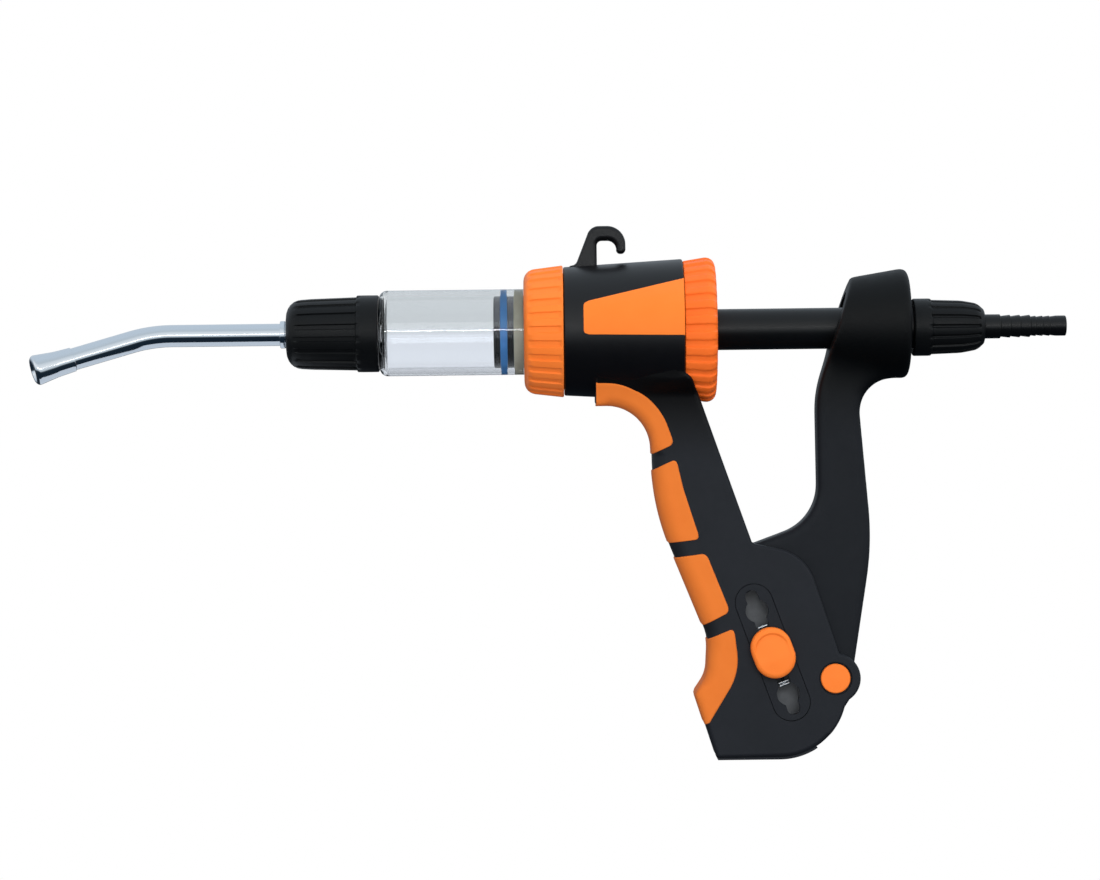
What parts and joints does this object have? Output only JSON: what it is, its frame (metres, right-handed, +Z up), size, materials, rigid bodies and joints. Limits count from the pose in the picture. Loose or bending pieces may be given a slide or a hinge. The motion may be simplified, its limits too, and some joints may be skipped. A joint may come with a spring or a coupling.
{
  "type": "livestock drencher",
  "caption": "Squeeze-lever drench gun with clear metering barrel, bent metal nozzle, pistol grip with soft pads, dose selector, hanging hook and hose tail.",
  "frame": {"origin": "seat inside the hanging hook, midway through its width", "axes": "+X along the barrel towards the hose tail, the nozzle at -X, +Z up, -Y the side with the dose knob"},
  "size_m": [0.3943, 0.0548, 0.2033],
  "materials": {
    "black_nylon": "fine moulded satin black nylon",
    "orange_plastic": "smooth moulded orange plastic",
    "orange_rubber": "soft matt orange overmould",
    "clear_plastic": "clear polished plastic",
    "black_rubber": "matt seal rubber",
    "blue_rubber": "smooth blue seal rubber",
    "olive_plastic": "olive grey bearing plastic",
    "grey_plastic": "grey bearing plastic",
    "white_plastic": "natural white valve plastic",
    "bright_steel": "bright stainless steel",
    "chrome_brass": "polished chrome plate"
  },
  "bodies": {
    "gun_body": {"pistol_body": "black_nylon", "inlay_left": "orange_plastic", "inlay_right": "orange_plastic", "pad_index": "orange_rubber", "pad_upper": "orange_rubber", "pad_lower": "orange_rubber", "pad_heel": "orange_rubber", "front_collar": "orange_plastic", "barrel": "clear_plastic", "barrel_gasket": "black_rubber", "outlet_seat": "black_rubber", "outlet_spring": "bright_steel", "outlet_retainer": "bright_steel", "nozzle_seal": "black_rubber", "nozzle_nut": "black_nylon", "rear_cap": "orange_plastic", "rod_bush": "grey_plastic", "bump_ring": "black_rubber", "spring_plate": "bright_steel", "return_spring": "bright_steel", "dose_plate": "black_nylon", "pivot_pin": "bright_steel", "pivot_cap_left": "orange_plastic", "pivot_cap_right": "orange_plastic"},
    "squeeze_lever": {"lever": "black_nylon", "lever_bush": "grey_plastic"},
    "plunger": {"piston_rod": "black_nylon", "piston_head": "black_nylon", "piston_seal": "blue_rubber", "piston_spacer": "black_nylon", "piston_guide": "olive_plastic", "inlet_retainer": "bright_steel", "inlet_spring": "bright_steel", "rod_collar": "bright_steel", "trunnion": "bright_steel", "barb_nut": "black_nylon", "barb_seal": "black_rubber", "hose_barb": "black_nylon"},
    "inlet_poppet": {"inlet_valve": "white_plastic"},
    "outlet_poppet": {"outlet_valve": "white_plastic"},
    "nozzle": {"nozzle_tube": "chrome_brass", "nozzle_tip": "chrome_brass", "nozzle_ferrule": "chrome_brass"},
    "dose_slider": {"dose_clip": "bright_steel"},
    "dose_button": {"dose_stem": "bright_steel", "dose_knob": "orange_plastic"}
  },
  "joints": [
    {"name": "lever_pivot", "type": "hinge", "parent": "gun_body", "child": "squeeze_lever", "pos_m": [0.0843, 0, -0.16665], "axis": [0, -1, 0], "range_deg": [0, 17.5], "stiffness_Nm_per_rad": 5, "springref_deg": -17.19},
    {"name": "rod_slide", "type": "slide", "parent": "gun_body", "child": "plunger", "axis": [-1, 0, 0], "range_m": [0, 0.0406], "deforming": ["return_spring"]},
    {"name": "nozzle_swivel", "type": "hinge", "parent": "gun_body", "child": "nozzle", "pos_m": [-0.12, 0, -0.0343], "axis": [1, 0, 0], "continuous": true},
    {"name": "dose_slide", "type": "slide", "parent": "gun_body", "child": "dose_slider", "axis": [0.342, 0, -0.9397], "range_m": [-0.0167, 0.0167]},
    {"name": "dose_press", "type": "slide", "parent": "dose_slider", "child": "dose_button", "axis": [0, 1, 0], "range_m": [0, 0.0012], "stiffness_N_per_m": 300, "springref_m": -0.001},
    {"name": "inlet_valve_lift", "type": "slide", "parent": "plunger", "child": "inlet_poppet", "axis": [-1, 0, 0], "range_m": [0, 0.0015], "stiffness_N_per_m": 40, "springref_m": -0.001, "deforming": ["inlet_spring"]},
    {"name": "outlet_valve_lift", "type": "slide", "parent": "gun_body", "child": "outlet_poppet", "axis": [-1, 0, 0], "range_m": [0, 0.002], "stiffness_N_per_m": 40, "springref_m": -0.001, "deforming": ["outlet_spring"]}
  ],
  "couplings": [
    {"joint": "rod_slide", "follows": "lever_pivot", "m_per_rad": 0.1329}
  ]
}
